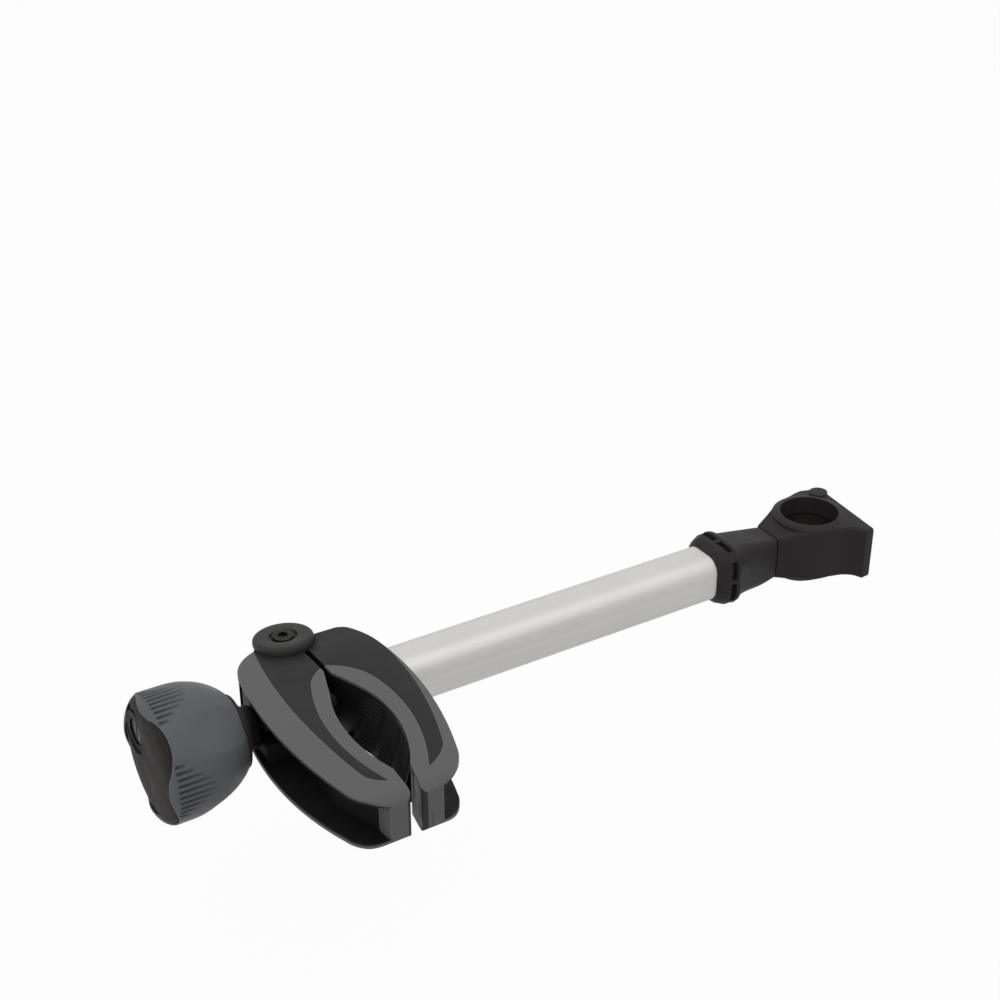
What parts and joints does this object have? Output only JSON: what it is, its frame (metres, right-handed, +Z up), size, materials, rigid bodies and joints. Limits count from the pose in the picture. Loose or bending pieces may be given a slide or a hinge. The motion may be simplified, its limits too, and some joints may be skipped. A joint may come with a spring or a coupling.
{
  "type": "bike carrier frame arm",
  "caption": "Arm for a hitch bike carrier: a square tube with a post clamp at one end and hinged, knob-tightened jaws for a bicycle frame at the other.",
  "frame": {"origin": "on the axis of the post's bore, at the height of the tube's axis", "axes": "+X along the tube from the jaws to the post, +Y towards the hinge of the jaws, +Z up along the post"},
  "size_m": [0.4506, 0.163, 0.0684],
  "materials": {
    "black_nylon": "fine-grained matte moulding, near black",
    "charcoal_nylon": "fine-grained matte moulding, charcoal",
    "grey_trim": "satin moulding, mid grey",
    "cap_nylon": "satin moulding, dark warm grey",
    "knob_grey": "soft-touch overmoulding, mid grey",
    "knob_dark": "fine-grained matte moulding, dark warm grey",
    "pad_rubber": "matte black rubber",
    "satin_aluminium": "satin silver anodised extrusion",
    "zinc_steel": "zinc-plated steel",
    "black_steel": "blackened steel",
    "spring_steel": "oiled spring steel",
    "band_steel": "plain steel strap",
    "bearing_nylon": "natural bearing plastic",
    "brass": "plain brass",
    "lock_black": "gloss black",
    "lock_metal": "dull chrome"
  },
  "bodies": {
    "post_clamp": {"post_block": "black_nylon", "bore_pad_upper": "pad_rubber", "bore_pad_lower": "pad_rubber", "retaining_clip": "spring_steel", "swivel_washer": "black_nylon"},
    "draw_bar": {"draw_rod": "black_steel", "crosshead": "zinc_steel", "stirrup_band": "band_steel", "band_rivets": "zinc_steel"},
    "arm": {"collar": "black_nylon", "swivel_bush": "bearing_nylon", "frame_tube": "satin_aluminium", "rod_guide_near": "bearing_nylon", "rod_guide_far": "bearing_nylon", "tube_screws": "zinc_steel", "fixed_jaw": "charcoal_nylon", "fixed_jaw_trim": "grey_trim", "fixed_jaw_pad": "pad_rubber", "hinge_bush": "bearing_nylon"},
    "swing_jaw": {"outer_jaw": "charcoal_nylon", "outer_jaw_trim": "grey_trim", "outer_jaw_pad": "pad_rubber", "hinge_bolt": "black_steel", "hinge_nut": "zinc_steel", "hinge_cap": "cap_nylon", "hinge_cap_lower": "cap_nylon"},
    "seat": {"thrust_seat": "zinc_steel", "thrust_washer": "brass"},
    "knob": {"knob_back": "knob_dark", "knob_core": "knob_dark", "knob_shell": "knob_grey", "knob_nut": "zinc_steel", "clutch_disc": "zinc_steel", "spring_washers": "spring_steel", "lock_housing": "lock_black"},
    "lock": {"lock_plug": "lock_metal", "lock_cam": "zinc_steel"}
  },
  "joints": [
    {"name": "clamp_draw", "type": "slide", "parent": "post_clamp", "child": "draw_bar", "axis": [-1, 0, 0], "range_m": [0, 0.0015]},
    {"name": "arm_swivel", "type": "hinge", "parent": "post_clamp", "child": "arm", "pos_m": [0, 0, 0], "axis": [1, 0, 0], "range_deg": [-90, 90]},
    {"name": "jaw_swing", "type": "hinge", "parent": "arm", "child": "swing_jaw", "pos_m": [-0.3285, 0.0415, 0], "axis": [0, 0, -1], "range_deg": [0, 30.2]},
    {"name": "knob_travel", "type": "slide", "parent": "arm", "child": "seat", "axis": [-1, 0, 0], "range_m": [0, 0.0368]},
    {"name": "knob_turn", "type": "hinge", "parent": "seat", "child": "knob", "pos_m": [-0.4, 0, 0], "axis": [-1, 0, 0], "range_deg": [0, 5277]},
    {"name": "lock_turn", "type": "hinge", "parent": "knob", "child": "lock", "pos_m": [-0.42, 0.01498, 0.00865], "axis": [-1, 0, 0], "range_deg": [0, 90]}
  ],
  "couplings": [
    {"joint": "knob_travel", "follows": "knob_turn", "m_per_rad": 0.00039789},
    {"joint": "jaw_swing", "follows": "knob_turn", "ratio": 0.0056841}
  ]
}
